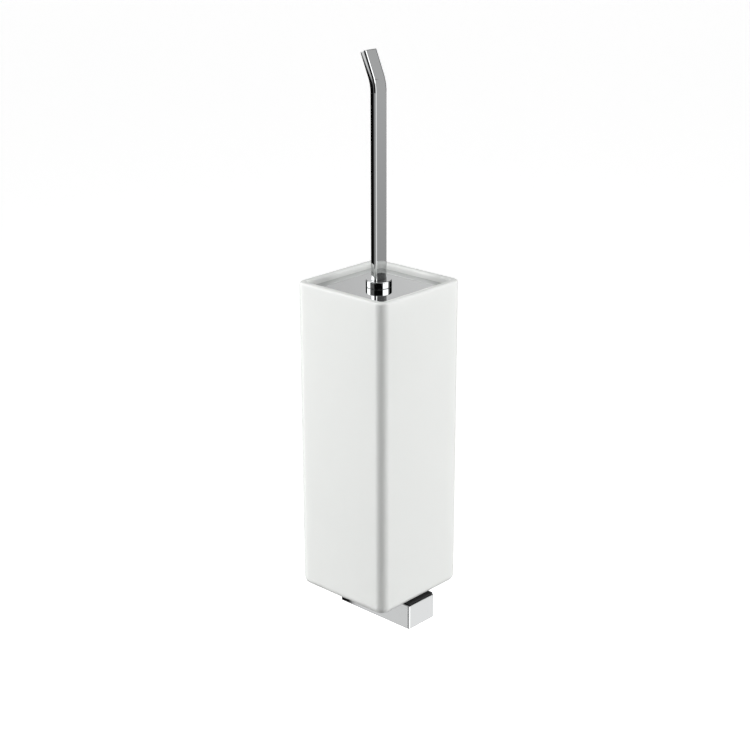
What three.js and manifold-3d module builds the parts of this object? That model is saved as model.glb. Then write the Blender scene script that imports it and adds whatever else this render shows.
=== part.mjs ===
// Wall-mounted toilet brush holder: a tall square container of satin glass on a flat chrome arm,
// with a brush that hangs from a square chrome lid and lifts straight out.
//
// Millimetres, +Z up. The wall is the plane y = 0 and the holder stands out from it towards -Y.
// The origin is the centre of the face that is fixed to the wall.

import * as THREE from "three";
import { mergeVertices } from "three/addons/utils/BufferGeometryUtils.js";
import Module from "manifold-3d";

const wasm = await Module();
wasm.setup();

// ---- Driving dimensions ----

const GAP = 0.3; // left between pieces that touch
const SLIP = 0.2; // left between the visible chrome pieces
const PAST = 1; // by which a cut runs past the face that it opens

const ARM_WIDTH = 29.5;
const ARM_HEIGHT = 20.5;
const ARM_END = -74.7; // y of the arm's free end
const ARM_EDGE = 0.5;
const THREAD_CHAMFER = 0.7; // at the end of a screw, rod or stud

const FLANGE_THICKNESS = 1.5; // wall fixing: the plate that closes the arm's wall end
const FLANGE_EDGE = 0.4;
const BOSS_WIDTH = 24; // and the block behind it, inside the arm
const BOSS_HEIGHT = 15;
const BOSS_DEPTH = 12;
const BOSS_EDGE = 0.3;
const POCKET_SPARE = 1; // depth of the pocket in the arm past the block
const GRUB_RADIUS = 2;
const GRUB_LENGTH = 5;
const GRUB_POINT = 1.2; // height and width of its tapered point
const GRUB_SOCKET = 2; // across the flats, and deep
const GRUB_SUNK = 0.4; // its end lies this far above the underside of the arm

const CONTAINER_SIDE = 90;
const CONTAINER_HEIGHT = 254.5;
const CONTAINER_Y = -46; // y of the container's axis: its wall side clears the wall by 1 mm
const CORNER_RADIUS = 8;
const BOTTOM_FILLET = 6;
const RIM_ROUND = 1.6;
const WALL = 6; // thickness at the rim
const LEDGE_WALL = 8; // thickness below the ledge that carries the lid
const FLOOR = 10;
const FLOOR_FILLET = 4;
const LEAST_CORNER = 2.5; // no corner of a square piece is sharper than this

const SCREW_SPACING = 36; // two screws hold the container down on the arm
const SCREW_RADIUS = 2.5;
const SCREW_HEAD_RADIUS = 4.75;
const SCREW_HEAD_HEIGHT = 2.8;
const SCREW_DOME_START = 0.8; // height of the head's straight side
const SCREW_SOCKET = 3; // across the flats
const SCREW_SOCKET_DEPTH = 1.8;
const THREAD_DEPTH = 10; // of the screws in the arm
const GLASS_HOLE_RADIUS = 5;
const GASKET_THICKNESS = 1.1;
const GASKET_INSET = 0.6; // from the sides and the ends of the arm
const GASKET_CORNER = 1;
const PAD_THICKNESS = 2;
const CLAMP_THICKNESS = 2;
const CLAMP_LENGTH = 58;
const CLAMP_WIDTH = 24;
const CLAMP_CORNER = 4;
const PAD_MARGIN = 2; // by which the pad is larger than the plate all round
const PAD_CORNER = 5;

const LID_DROP = 4.4; // from the rim down to the lid's top
const LID_THICKNESS = 1.5;
const LID_PLAY = 0.4; // between the lid's edge and the container, all round
const LID_CORNER = 2.6;
const LID_EDGE = 0.4;
const SEAL_THICKNESS = 1.2;
const SEAL_LIP_DEPTH = 7;
const SEAL_LIP_THICKNESS = 2;

const COLLAR_RADIUS = 10;
const COLLAR_HEIGHT = 5.2;
const COLLAR_EDGE = 0.6;

const HANDLE_WIDTH = 13.2; // across the bar's broad faces, along X
const HANDLE_THICKNESS = 5.6;
const HANDLE_EDGE = 1.5;
const TIP_EDGE = 0.5;
const BEND_START = 143.2; // height of the bend above the rim
const BEND_RADIUS = 30; // of the bar's middle line
const BEND_ANGLE = THREE.MathUtils.degToRad(23.5);
const BEND_STEPS = 10;
const TIP_LENGTH = 19; // straight length past the bend

const STUD_RADIUS = 2.5; // threaded end of the handle, through collar, lid and nut
const STUD_IN_STEM = 12;
const STUD_IN_HANDLE = 3;
const WASHER_RADIUS = 7;
const WASHER_THICKNESS = 1;
const NUT_FLATS = 8;
const NUT_HEIGHT = 4;

const STEM_RADIUS = 3.5;
const STEM_SOCKET_RADIUS = 4.5;
const STEM_SOCKET_LENGTH = 18;
const STEM_IN_CORE = 20;
const BORE_SPARE = 2; // depth of a bore past the end of what is in it

const CORE_RADIUS = 6.5;
const CORE_TOP_ABOVE_FLOOR = 112;
const CORE_LENGTH = 86;
const CORE_NECK_RADIUS = 8;
const CORE_NECK_LENGTH = 9;
const BRISTLE_RADIUS = 34;
const BRISTLE_ROUND = 8;
const BRISTLE_LENGTH = 71;
const BRISTLE_START = 1; // height of the lowest bristles above the end of the core
const END_TUFT_RADIUS = 19;
const END_TUFT_LENGTH = 10;
const END_TUFT_ROUND = 5;

// ---- Levels that follow from them ----

const ARM_TOP = ARM_HEIGHT / 2;
const GASKET_BOTTOM = ARM_TOP + GAP;
const CONTAINER_BOTTOM = GASKET_BOTTOM + GASKET_THICKNESS + GAP;
const RIM = CONTAINER_BOTTOM + CONTAINER_HEIGHT;
const FLOOR_TOP = CONTAINER_BOTTOM + FLOOR;
const PAD_BOTTOM = FLOOR_TOP + GAP;
const CLAMP_BOTTOM = PAD_BOTTOM + PAD_THICKNESS + GAP;
const SCREW_HEAD_BOTTOM = CLAMP_BOTTOM + CLAMP_THICKNESS + GAP;
const LID_TOP = RIM - LID_DROP;
const LID_BOTTOM = LID_TOP - LID_THICKNESS;
const SEAL_TOP = LID_BOTTOM - GAP;
const LEDGE = SEAL_TOP - SEAL_THICKNESS - GAP;
const COLLAR_BOTTOM = LID_TOP + SLIP;
const HANDLE_BOTTOM = COLLAR_BOTTOM + COLLAR_HEIGHT + SLIP;
const WASHER_TOP = LID_BOTTOM - GAP;
const NUT_TOP = WASHER_TOP - WASHER_THICKNESS - GAP;
const STEM_TOP = NUT_TOP - NUT_HEIGHT - GAP;
const CORE_TOP = FLOOR_TOP + CORE_TOP_ABOVE_FLOOR;
const CORE_BOTTOM = CORE_TOP - CORE_LENGTH;
const BRISTLE_BOTTOM = CORE_BOTTOM + BRISTLE_START;
const BRISTLE_TOP = BRISTLE_BOTTOM + BRISTLE_LENGTH;
const SCREW_YS = [CONTAINER_Y + SCREW_SPACING / 2, CONTAINER_Y - SCREW_SPACING / 2];
const GRUB_BOTTOM = -ARM_HEIGHT / 2 + GRUB_SUNK;
const DIMPLE_TOP = GRUB_BOTTOM + GRUB_LENGTH + GAP;
const GRUB_Y = -FLANGE_THICKNESS - GAP - BOSS_DEPTH / 2;

// ---- Materials ----

const finish = (color, roughness, metalness) =>
  new THREE.MeshStandardMaterial({ color, roughness, metalness });
const chrome = () => finish(0xcccecf, 0.05, 1);
const steel = () => finish(0xb9bcbd, 0.3, 1);
const satinGlass = () => finish(0xe8ebe8, 0.6, 0);
const rubber = () => finish(0x2b2c2e, 0.8, 0);
const nylon = () => finish(0xe4e4df, 0.5, 0);
const bristle = () => finish(0xf3f3f0, 0.7, 0);

// ---- Solids ----

// A closed three.js geometry as a solid that can be cut and joined.
function solid(geometry) {
  const bare = geometry.clone();
  bare.deleteAttribute("normal");
  bare.deleteAttribute("uv");
  const merged = mergeVertices(bare, 1e-4);
  return new wasm.Manifold(
    new wasm.Mesh({
      numProp: 3,
      vertProperties: new Float32Array(merged.attributes.position.array),
      triVerts: new Uint32Array(merged.index.array),
    }),
  );
}

// A solid back as a geometry with flat-shaded faces.
function geometryOf(body) {
  const mesh = body.getMesh();
  const indexed = new THREE.BufferGeometry();
  indexed.setAttribute("position", new THREE.BufferAttribute(mesh.vertProperties, 3));
  indexed.setIndex(new THREE.BufferAttribute(mesh.triVerts, 1));
  const geometry = indexed.toNonIndexed();
  geometry.computeVertexNormals();
  return geometry;
}

// Quarter arcs for profiles, as [x, z] points from one angle to another.
function arc(x, z, radius, from, to, steps = 5) {
  return Array.from({ length: steps + 1 }, (_, i) => {
    const angle = THREE.MathUtils.degToRad(from + ((to - from) * i) / steps);
    return [x + radius * Math.cos(angle), z + radius * Math.sin(angle)];
  });
}

// The outline of a rectangle with rounded corners, as [x, y] points in anticlockwise order.
function rectangle(halfX, halfY, radius, steps) {
  const outline = [];
  for (let corner = 0; corner < 4; corner += 1) {
    const x = (halfX - radius) * (corner === 0 || corner === 3 ? 1 : -1);
    const y = (halfY - radius) * (corner < 2 ? 1 : -1);
    for (let i = 0; i <= steps; i += 1) {
      const angle = ((corner + i / steps) * Math.PI) / 2;
      outline.push([x + radius * Math.cos(angle), y + radius * Math.sin(angle)]);
    }
  }
  return outline;
}

// A skin over a row of rings, each a list of [x, y, z] points in the same order. It is capped at
// both ends, or joined up when `closed`.
function loft(rings, closed = false) {
  const count = rings[0].length;
  const points = rings.flat();
  const faces = [];
  const bands = closed ? rings.length : rings.length - 1;
  for (let k = 0; k < bands; k += 1) {
    const low = k * count;
    const high = ((k + 1) % rings.length) * count;
    for (let i = 0; i < count; i += 1) {
      const j = (i + 1) % count;
      faces.push(low + i, low + j, high + j, low + i, high + j, high + i);
    }
  }
  if (!closed) {
    const middle = (ring) =>
      [0, 1, 2].map((axis) => ring.reduce((sum, point) => sum + point[axis], 0) / count);
    const last = (rings.length - 1) * count;
    const first = points.push(middle(rings[0])) - 1;
    const final = points.push(middle(rings.at(-1))) - 1;
    for (let i = 0; i < count; i += 1) {
      const j = (i + 1) % count;
      faces.push(first, j, i, final, last + i, last + j);
    }
  }
  const geometry = new THREE.BufferGeometry();
  geometry.setAttribute("position", new THREE.Float32BufferAttribute(points.flat(), 3));
  geometry.setIndex(faces);
  return geometry;
}

// A profile of [half, z] points carried round a square with rounded corners. The corner radius
// shrinks with the profile's distance from `outerHalf`. An open profile starts at the bottom.
function squareTurned(profile, outerHalf, cornerRadius, closed = false) {
  const steps = 6;
  const rings = profile.map(([half, z]) => {
    const radius = Math.max(cornerRadius - (outerHalf - half), LEAST_CORNER);
    return rectangle(half, half, radius, steps).map(([x, y]) => [x, y, z]);
  });
  return loft(rings, closed);
}

// An upright bar between two levels, with its long edges and its end edges rounded.
function bar(width, depth, bottom, top, edge) {
  const steps = 3;
  const corner = 1.5 * edge;
  const level = (z, inset) =>
    rectangle(width / 2 - inset, depth / 2 - inset, corner - inset, steps).map(([x, y]) => [x, y, z]);
  const ends = arc(0, 0, edge, 0, 90, steps);
  const lower = ends.map(([across, rise]) => level(bottom + edge - rise, edge - across)).reverse();
  const upper = ends.map(([across, rise]) => level(top - edge + rise, edge - across));
  return loft([...lower, ...upper]);
}

// A [radius, z] profile turned about the vertical axis.
function turned(profile, segments = 32) {
  const points = profile.map(([x, z]) => new THREE.Vector2(x, z));
  return new THREE.LatheGeometry(points, segments).rotateX(Math.PI / 2);
}

// A round rod between two levels.
function rod(radius, bottom, top, segments = 24) {
  return turned([[0, bottom], [radius, bottom], [radius, top], [0, top]], segments);
}

// A ring between two levels.
function tube(inner, outer, bottom, top, segments = 32) {
  return turned(
    [[inner, bottom], [outer, bottom], [outer, top], [inner, top], [inner, bottom]],
    segments,
  );
}

// A hexagonal prism between two levels.
function hexagon(flats, bottom, top) {
  return rod(flats / Math.sqrt(3), bottom, top, 6);
}

// A flat outline between two levels.
function slab(shape, bottom, top) {
  const options = { depth: top - bottom, bevelEnabled: false, curveSegments: 6 };
  return new THREE.ExtrudeGeometry(shape, options).translate(0, 0, bottom);
}

// A rectangle with rounded corners, centred on the origin.
function roundedRectangle(width, depth, radius) {
  const x = width / 2 - radius;
  const y = depth / 2 - radius;
  const shape = new THREE.Shape();
  shape.absarc(x, y, radius, 0, Math.PI / 2);
  shape.absarc(-x, y, radius, Math.PI / 2, Math.PI);
  shape.absarc(-x, -y, radius, Math.PI, 1.5 * Math.PI);
  shape.absarc(x, -y, radius, 1.5 * Math.PI, 2 * Math.PI);
  return shape;
}

// A bar that lies along Y between two y values, centred on the Y axis.
function barAlongY(width, height, far, near, edge) {
  return bar(width, height, far, near, edge).rotateX(-Math.PI / 2);
}

// ---- Wall fixing and arm ----

function wallFixing() {
  const bossFar = -FLANGE_THICKNESS - BOSS_DEPTH;
  const flange = barAlongY(ARM_WIDTH, ARM_HEIGHT, -FLANGE_THICKNESS, 0, FLANGE_EDGE);
  const boss = barAlongY(BOSS_WIDTH, BOSS_HEIGHT, bossFar, -FLANGE_THICKNESS / 2, BOSS_EDGE);
  const dimple = rod(GRUB_RADIUS + GAP, -BOSS_HEIGHT, DIMPLE_TOP);
  dimple.translate(0, GRUB_Y, 0);
  return geometryOf(solid(flange).add(solid(boss)).subtract(solid(dimple)));
}

function arm() {
  const near = -FLANGE_THICKNESS - SLIP;
  const pocketFar = -FLANGE_THICKNESS - BOSS_DEPTH - POCKET_SPARE;
  const pocketWidth = BOSS_WIDTH + 2 * GAP;
  const pocketHeight = BOSS_HEIGHT + 2 * GAP;
  const pocket = barAlongY(pocketWidth, pocketHeight, pocketFar, PAST, BOSS_EDGE);
  let body = solid(barAlongY(ARM_WIDTH, ARM_HEIGHT, ARM_END, near, ARM_EDGE));
  body = body.subtract(solid(pocket));
  const grubHole = rod(GRUB_RADIUS + GAP, -ARM_HEIGHT, -BOSS_HEIGHT / 2).translate(0, GRUB_Y, 0);
  body = body.subtract(solid(grubHole));
  for (const y of SCREW_YS) {
    const hole = rod(SCREW_RADIUS + GAP, ARM_TOP - THREAD_DEPTH - PAST, ARM_TOP + PAST);
    body = body.subtract(solid(hole.translate(0, y, 0)));
  }
  return geometryOf(body);
}

function grubScrew() {
  const top = GRUB_BOTTOM + GRUB_LENGTH;
  const screw = turned([
    [0, GRUB_BOTTOM],
    [GRUB_RADIUS, GRUB_BOTTOM],
    [GRUB_RADIUS, top - GRUB_POINT],
    [GRUB_RADIUS - GRUB_POINT, top],
    [0, top],
  ]);
  const socket = hexagon(GRUB_SOCKET, GRUB_BOTTOM - PAST, GRUB_BOTTOM + GRUB_SOCKET);
  return geometryOf(solid(screw).subtract(solid(socket))).translate(0, GRUB_Y, 0);
}

// ---- Container and what holds it down ----

function container() {
  const half = CONTAINER_SIDE / 2;
  const bore = half - WALL;
  const cavity = half - LEDGE_WALL;
  const profile = [
    ...arc(half - BOTTOM_FILLET, CONTAINER_BOTTOM + BOTTOM_FILLET, BOTTOM_FILLET, -90, 0, 6),
    ...arc(half - RIM_ROUND, RIM - RIM_ROUND, RIM_ROUND, 0, 90, 4),
    ...arc(bore + RIM_ROUND, RIM - RIM_ROUND, RIM_ROUND, 90, 180, 4),
    [bore, LEDGE],
    [cavity, LEDGE],
    ...arc(cavity - FLOOR_FILLET, FLOOR_TOP + FLOOR_FILLET, FLOOR_FILLET, 0, -90, 4),
  ];
  let body = solid(squareTurned(profile, half, CORNER_RADIUS));
  for (const y of SCREW_YS) {
    const hole = rod(GLASS_HOLE_RADIUS, CONTAINER_BOTTOM - PAST, FLOOR_TOP + PAST);
    body = body.subtract(solid(hole.translate(0, y - CONTAINER_Y, 0)));
  }
  return geometryOf(body);
}

// A flat strip from y = far to y = near with a hole for each screw, between two levels.
function screwStrip(width, far, near, holeRadius, bottom, top, cornerRadius) {
  const middle = (far + near) / 2;
  const shape = roundedRectangle(width, near - far, cornerRadius);
  for (const y of SCREW_YS) {
    const hole = new THREE.Path();
    hole.absarc(0, y - middle, holeRadius, 0, 2 * Math.PI, true);
    shape.holes.push(hole);
  }
  return slab(shape, bottom, top).translate(0, middle - CONTAINER_Y, 0);
}

function baseGasket() {
  const width = ARM_WIDTH - 2 * GASKET_INSET;
  const far = ARM_END + GASKET_INSET;
  const top = GASKET_BOTTOM + GASKET_THICKNESS;
  const near = -GASKET_INSET;
  return screwStrip(width, far, near, GLASS_HOLE_RADIUS, GASKET_BOTTOM, top, GASKET_CORNER);
}

// A strip over the floor of the container, round its axis, that the two screws go through.
function clampStrip(margin, bottom, top, cornerRadius) {
  const reach = CLAMP_LENGTH / 2 + margin;
  const width = CLAMP_WIDTH + 2 * margin;
  const hole = SCREW_RADIUS + GAP;
  return screwStrip(width, CONTAINER_Y - reach, CONTAINER_Y + reach, hole, bottom, top, cornerRadius);
}

function clampPad() {
  return clampStrip(PAD_MARGIN, PAD_BOTTOM, PAD_BOTTOM + PAD_THICKNESS, PAD_CORNER);
}

function clampPlate() {
  return clampStrip(0, CLAMP_BOTTOM, CLAMP_BOTTOM + CLAMP_THICKNESS, CLAMP_CORNER);
}

function holeBush() {
  const outer = GLASS_HOLE_RADIUS - GAP;
  return tube(SCREW_RADIUS + GAP, outer, CONTAINER_BOTTOM + GAP, FLOOR_TOP - GAP);
}

function clampScrew() {
  const top = SCREW_HEAD_BOTTOM + SCREW_HEAD_HEIGHT;
  const end = ARM_TOP - THREAD_DEPTH;
  const dome = SCREW_HEAD_HEIGHT - SCREW_DOME_START;
  const screw = turned([
    [0, end],
    [SCREW_RADIUS - THREAD_CHAMFER, end],
    [SCREW_RADIUS, end + THREAD_CHAMFER],
    [SCREW_RADIUS, SCREW_HEAD_BOTTOM],
    [SCREW_HEAD_RADIUS, SCREW_HEAD_BOTTOM],
    ...arc(SCREW_HEAD_RADIUS - dome, top - dome, dome, 0, 90, 3),
    [0, top],
  ]);
  const socket = hexagon(SCREW_SOCKET, top - SCREW_SOCKET_DEPTH, top + PAST);
  return geometryOf(solid(screw).subtract(solid(socket)));
}

// ---- Lid and handle ----

function lidPlate() {
  const half = CONTAINER_SIDE / 2 - WALL - LID_PLAY;
  const profile = [
    [half, LID_BOTTOM],
    ...arc(half - LID_EDGE, LID_TOP - LID_EDGE, LID_EDGE, 0, 90, 3),
  ];
  const hole = rod(STUD_RADIUS + GAP, LID_BOTTOM - PAST, LID_TOP + PAST);
  return geometryOf(solid(squareTurned(profile, half, LID_CORNER)).subtract(solid(hole)));
}

// A soft frame under the lid: its flange rests on the ledge, and its lip centres the lid.
function lidSeal() {
  const outer = CONTAINER_SIDE / 2 - WALL - 2 * LID_PLAY;
  const lip = CONTAINER_SIDE / 2 - LEDGE_WALL - 2 * GAP;
  const inner = lip - SEAL_LIP_THICKNESS;
  const profile = [
    [lip, SEAL_TOP - SEAL_LIP_DEPTH],
    [lip, SEAL_TOP - SEAL_THICKNESS],
    [outer, SEAL_TOP - SEAL_THICKNESS],
    [outer, SEAL_TOP],
    [inner, SEAL_TOP],
    [inner, SEAL_TOP - SEAL_LIP_DEPTH],
  ];
  return squareTurned(profile, outer, LEAST_CORNER, true);
}

function collar() {
  const bore = STUD_RADIUS + GAP;
  const top = COLLAR_BOTTOM + COLLAR_HEIGHT;
  const rounded = COLLAR_RADIUS - COLLAR_EDGE;
  return turned(
    [
      [bore, COLLAR_BOTTOM],
      [COLLAR_RADIUS, COLLAR_BOTTOM],
      ...arc(rounded, top - COLLAR_EDGE, COLLAR_EDGE, 0, 90, 3),
      [bore, top],
      [bore, COLLAR_BOTTOM],
    ],
    48,
  );
}

// The flat bar: upright, then bent away from the wall. The threaded stud at its foot goes down
// through the collar, the lid and the nut into the brush stem.
function handle() {
  const steps = 4;
  const corner = 1.05 * HANDLE_EDGE;
  const bendStart = RIM + BEND_START - HANDLE_BOTTOM;
  const bendEnd = bendStart + BEND_RADIUS * BEND_ANGLE;
  const section = (length, inset) => {
    const bent = THREE.MathUtils.clamp((length - bendStart) / BEND_RADIUS, 0, BEND_ANGLE);
    const rise = Math.min(length, bendStart) + BEND_RADIUS * Math.sin(bent);
    const out = BEND_RADIUS * (1 - Math.cos(bent));
    const past = Math.max(length - bendEnd, 0);
    const y = -out - past * Math.sin(bent);
    const z = HANDLE_BOTTOM + rise + past * Math.cos(bent);
    const halfWidth = HANDLE_WIDTH / 2 - inset;
    const halfThickness = HANDLE_THICKNESS / 2 - inset;
    return rectangle(halfWidth, halfThickness, corner - inset, steps).map(([across, through]) => [
      across,
      y + through * Math.cos(bent),
      z + through * Math.sin(bent),
    ]);
  };
  const bend = Array.from({ length: BEND_STEPS + 1 }, (_, i) =>
    section(bendStart + ((bendEnd - bendStart) * i) / BEND_STEPS, 0),
  );
  const tip = arc(0, 0, TIP_EDGE, 0, 90, 2).map(([across, reach]) =>
    section(bendEnd + TIP_LENGTH - TIP_EDGE + reach, TIP_EDGE - across),
  );
  const flat = loft([section(0, 0), ...bend, ...tip]);
  const stud = rod(STUD_RADIUS, STEM_TOP - STUD_IN_STEM, HANDLE_BOTTOM + STUD_IN_HANDLE);
  return geometryOf(solid(flat).add(solid(stud)));
}

function lidWasher() {
  return tube(STUD_RADIUS + GAP, WASHER_RADIUS, WASHER_TOP - WASHER_THICKNESS, WASHER_TOP);
}

function lidNut() {
  const nut = hexagon(NUT_FLATS, NUT_TOP - NUT_HEIGHT, NUT_TOP);
  const hole = rod(STUD_RADIUS + GAP, NUT_TOP - NUT_HEIGHT - PAST, NUT_TOP + PAST);
  return geometryOf(solid(nut).subtract(solid(hole)));
}

// ---- Brush ----

function stem() {
  const boreRadius = STUD_RADIUS + GAP;
  const boreBottom = STEM_TOP - STUD_IN_STEM - BORE_SPARE;
  const socketBottom = STEM_TOP - STEM_SOCKET_LENGTH;
  const end = CORE_TOP - STEM_IN_CORE;
  const step = 2;
  const edge = 0.5;
  return turned([
    [0, end],
    [STEM_RADIUS - THREAD_CHAMFER, end],
    [STEM_RADIUS, end + THREAD_CHAMFER],
    [STEM_RADIUS, socketBottom - step],
    [STEM_SOCKET_RADIUS, socketBottom],
    [STEM_SOCKET_RADIUS, STEM_TOP - edge],
    [STEM_SOCKET_RADIUS - edge, STEM_TOP],
    [boreRadius, STEM_TOP],
    [boreRadius, boreBottom],
    [0, boreBottom],
  ]);
}

function core() {
  const bore = STEM_RADIUS + GAP;
  const boreBottom = CORE_TOP - STEM_IN_CORE - BORE_SPARE;
  const neckBottom = CORE_TOP - CORE_NECK_LENGTH;
  const taper = 2;
  const edge = 1;
  return turned([
    [0, CORE_BOTTOM],
    [CORE_RADIUS - edge, CORE_BOTTOM],
    [CORE_RADIUS, CORE_BOTTOM + edge],
    [CORE_RADIUS, neckBottom - taper],
    [CORE_NECK_RADIUS, neckBottom],
    [CORE_NECK_RADIUS, CORE_TOP - taper],
    [CORE_NECK_RADIUS - taper, CORE_TOP],
    [bore, CORE_TOP],
    [bore, boreBottom],
    [0, boreBottom],
  ]);
}

// The envelope of the bristles that stand out all round the core.
function sideBristles() {
  const inner = CORE_RADIUS + GAP;
  const rounded = BRISTLE_RADIUS - BRISTLE_ROUND;
  return turned([
    [inner, BRISTLE_BOTTOM],
    ...arc(rounded, BRISTLE_BOTTOM + BRISTLE_ROUND, BRISTLE_ROUND, -90, 0, 4),
    ...arc(rounded, BRISTLE_TOP - BRISTLE_ROUND, BRISTLE_ROUND, 0, 90, 4),
    [inner, BRISTLE_TOP],
    [inner, BRISTLE_BOTTOM],
  ]);
}

// The envelope of the tuft that points down from the core's end.
function endBristles() {
  const top = CORE_BOTTOM - GAP;
  const bottom = top - END_TUFT_LENGTH;
  const rounded = END_TUFT_RADIUS - END_TUFT_ROUND;
  const taper = 3;
  return turned([
    [0, bottom],
    ...arc(rounded, bottom + END_TUFT_ROUND, END_TUFT_ROUND, -90, 0, 3),
    [END_TUFT_RADIUS - taper, top],
    [0, top],
  ]);
}

// ---- Assembly ----

function piece(name, geometry, material) {
  const mesh = new THREE.Mesh(geometry, material);
  mesh.name = name;
  return mesh;
}

const wallSide = new THREE.Group();
wallSide.add(
  piece("wall_fixing", wallFixing(), chrome()),
  piece("arm", arm(), chrome()),
  piece("arm_grub_screw", grubScrew(), steel()),
);

const holder = new THREE.Group();
holder.position.y = CONTAINER_Y;
holder.add(
  piece("glass_container", container(), satinGlass()),
  piece("base_gasket", baseGasket(), rubber()),
  piece("clamp_pad", clampPad(), rubber()),
  piece("clamp_plate", clampPlate(), steel()),
);
SCREW_YS.forEach((y, i) => {
  const bush = piece(`glass_bush_${i + 1}`, holeBush(), nylon());
  const screw = piece(`clamp_screw_${i + 1}`, clampScrew(), steel());
  bush.position.y = y - CONTAINER_Y;
  screw.position.y = y - CONTAINER_Y;
  holder.add(bush, screw);
});

const brush = new THREE.Group();
brush.position.y = CONTAINER_Y;
brush.add(
  piece("handle_bar", handle(), chrome()),
  piece("handle_collar", collar(), chrome()),
  piece("lid_plate", lidPlate(), chrome()),
  piece("lid_seal", lidSeal(), rubber()),
  piece("lid_washer", lidWasher(), nylon()),
  piece("lid_nut", lidNut(), steel()),
  piece("brush_stem", stem(), steel()),
  piece("brush_core", core(), nylon()),
  piece("brush_bristles", sideBristles(), bristle()),
  piece("brush_end_bristles", endBristles(), bristle()),
);

const group = new THREE.Group();
group.add(wallSide, holder, brush);

export default group;
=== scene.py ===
"""Looks for the wall-mounted toilet brush holder: satin glass, mirror chrome and a nylon brush."""

import math
import random

import bpy
from mathutils import Matrix, Vector


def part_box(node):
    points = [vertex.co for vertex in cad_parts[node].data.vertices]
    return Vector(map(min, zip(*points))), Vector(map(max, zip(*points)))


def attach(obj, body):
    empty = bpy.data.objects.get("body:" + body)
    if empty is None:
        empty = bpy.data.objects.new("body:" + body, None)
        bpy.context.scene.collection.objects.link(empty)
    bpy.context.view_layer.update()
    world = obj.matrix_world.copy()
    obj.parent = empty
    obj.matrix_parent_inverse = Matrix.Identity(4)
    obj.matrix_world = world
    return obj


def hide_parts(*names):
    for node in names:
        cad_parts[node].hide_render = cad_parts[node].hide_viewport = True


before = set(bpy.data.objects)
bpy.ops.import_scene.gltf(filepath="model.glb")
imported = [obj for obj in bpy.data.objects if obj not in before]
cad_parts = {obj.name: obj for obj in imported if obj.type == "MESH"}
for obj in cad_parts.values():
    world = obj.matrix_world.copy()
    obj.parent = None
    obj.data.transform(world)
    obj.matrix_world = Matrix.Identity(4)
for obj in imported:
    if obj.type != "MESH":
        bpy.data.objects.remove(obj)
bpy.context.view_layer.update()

MM = 0.001
GAP = 0.3 * MM  # between pieces that touch
SLIP = 0.2 * MM  # between the visible chrome pieces
PAST = MM  # by which a cut runs past the face that it opens
LEAST_ROUND = 0.05 * MM  # of an inset corner
SHARP = 40  # edges with a larger angle than this stay sharp, in degrees

# ---- Places and sizes that the frame gives ----

glass_low, glass_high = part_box("glass_container")
arm_low, arm_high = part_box("arm")
fixing_low, fixing_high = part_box("wall_fixing")
lid_low, lid_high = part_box("lid_plate")
collar_low, collar_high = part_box("handle_collar")
handle_low, handle_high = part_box("handle_bar")
stem_low, stem_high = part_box("brush_stem")
core_low, core_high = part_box("brush_core")
side_low, side_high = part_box("brush_bristles")
end_low, end_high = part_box("brush_end_bristles")
grub_low, grub_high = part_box("arm_grub_screw")
screw_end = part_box("clamp_screw_1")[0].z
SCREW_YS = [sum(corner.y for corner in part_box(f"clamp_screw_{i}")) / 2 for i in (1, 2)]
AXIS_X = (glass_low.x + glass_high.x) / 2
AXIS_Y = (glass_low.y + glass_high.y) / 2
RIM = glass_high.z

# ---- Small shapes that the pieces share ----


def arc(centre_a, centre_b, radius, start, end, steps):
    """Points on an arc, from one angle in degrees to another."""
    points = []
    for i in range(steps + 1):
        angle = math.radians(start + (end - start) * i / steps)
        points.append((centre_a + radius * math.cos(angle), centre_b + radius * math.sin(angle)))
    return points


def rectangle(half_x, half_y, radius, steps):
    """A rectangle with rounded corners, as points in anticlockwise order."""
    outline = []
    for corner in range(4):
        x = (half_x - radius) * (1 if corner in (0, 3) else -1)
        y = (half_y - radius) * (1 if corner < 2 else -1)
        outline += arc(x, y, radius, 90 * corner, 90 * corner + 90, steps)
    return outline


def skin(rings, closed=False):
    """Vertices and faces of a skin over a row of rings, capped at both ends unless it is closed."""
    count = len(rings[0])
    vertices = [point for ring in rings for point in ring]
    faces = []
    for k in range(len(rings) if closed else len(rings) - 1):
        low, high = k * count, (k + 1) % len(rings) * count
        for i in range(count):
            j = (i + 1) % count
            faces.append((low + i, low + j, high + j, high + i))
    if not closed:
        last = (len(rings) - 1) * count
        faces.append(tuple(reversed(range(count))))
        faces.append(tuple(range(last, last + count)))
    return vertices, faces


def turned(profile, segments=64):
    """A profile of (radius, z) points turned about the brush's axis. A radius of 0 is a pole."""
    vertices, faces, rings = [], [], []
    for radius, z in profile:
        if radius == 0:
            rings.append([len(vertices)] * segments)
            vertices.append((AXIS_X, AXIS_Y, z))
            continue
        rings.append(list(range(len(vertices), len(vertices) + segments)))
        for i in range(segments):
            angle = 2 * math.pi * i / segments
            vertices.append((AXIS_X + radius * math.cos(angle), AXIS_Y + radius * math.sin(angle), z))
    for low, high in zip(rings, rings[1:]):
        for i in range(segments):
            j = (i + 1) % segments
            corners = [low[i], low[j], high[j], high[i]]
            face = tuple(dict.fromkeys(corners))
            if len(face) > 2:
                faces.append(face)
    return vertices, faces


def square_turned(profile, outer_half, corner, least, steps=12, closed=False):
    """A profile of (half side, z) points carried round a square with rounded corners."""
    rings = []
    for half, z in profile:
        radius = max(corner - (outer_half - half), least)
        outline = rectangle(half, half, radius, steps)
        rings.append([(AXIS_X + x, AXIS_Y + y, z) for x, y in outline])
    return skin(rings, closed)


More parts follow.
